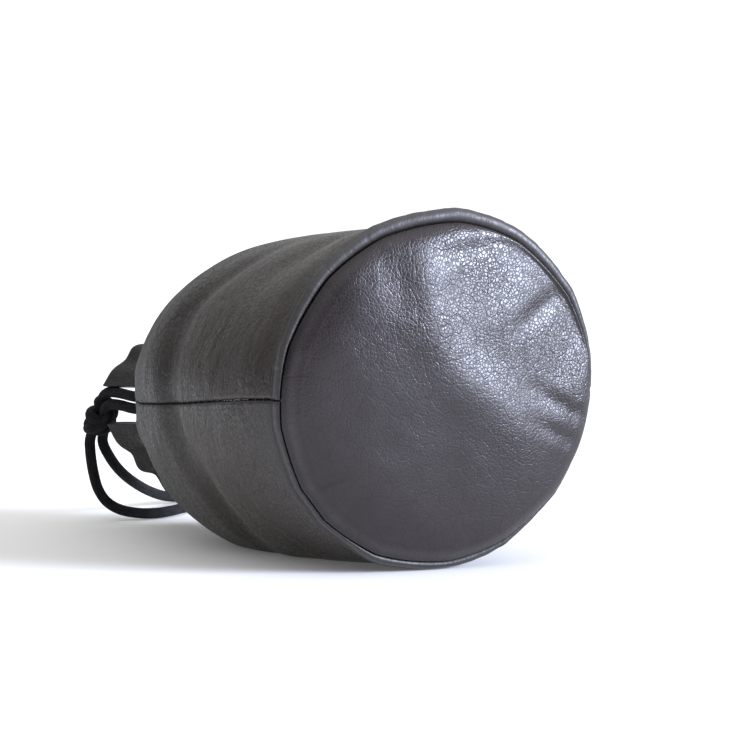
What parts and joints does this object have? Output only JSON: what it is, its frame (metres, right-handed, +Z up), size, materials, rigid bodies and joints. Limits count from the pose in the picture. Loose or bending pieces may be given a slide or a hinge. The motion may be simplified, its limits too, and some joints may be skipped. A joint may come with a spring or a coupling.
{
  "type": "leather drawstring pouch",
  "caption": "Round-based leather bucket pouch lying on its side, gathered to a ruffled neck by a cord in a tunnel, with the cord knotted into a loop.",
  "frame": {"origin": "centre of the pouch's bounding box without its free cord, on the floor it lies on", "axes": "+Z up from the floor, +Y along the body from the round base to the gathered mouth, -X the side whose seam shows and whose slit lets the cord out"},
  "size_m": [0.1444, 0.2671, 0.1322],
  "materials": {
    "leather": "soft black-brown leather, fine pebble grain, satin",
    "base_leather": "soft black-brown leather, pebble grain, satin sheen",
    "cord": "round black leather cord, matte"
  },
  "bodies": {
    "root": {"front_panel": "leather", "back_panel": "leather", "base_panel": "base_leather", "drawstring_ring": "cord", "drawstring_lead_front": "cord", "drawstring_lead_back": "cord", "drawstring_knot": "cord", "drawstring_loop": "cord"}
  },
  "joints": []
}
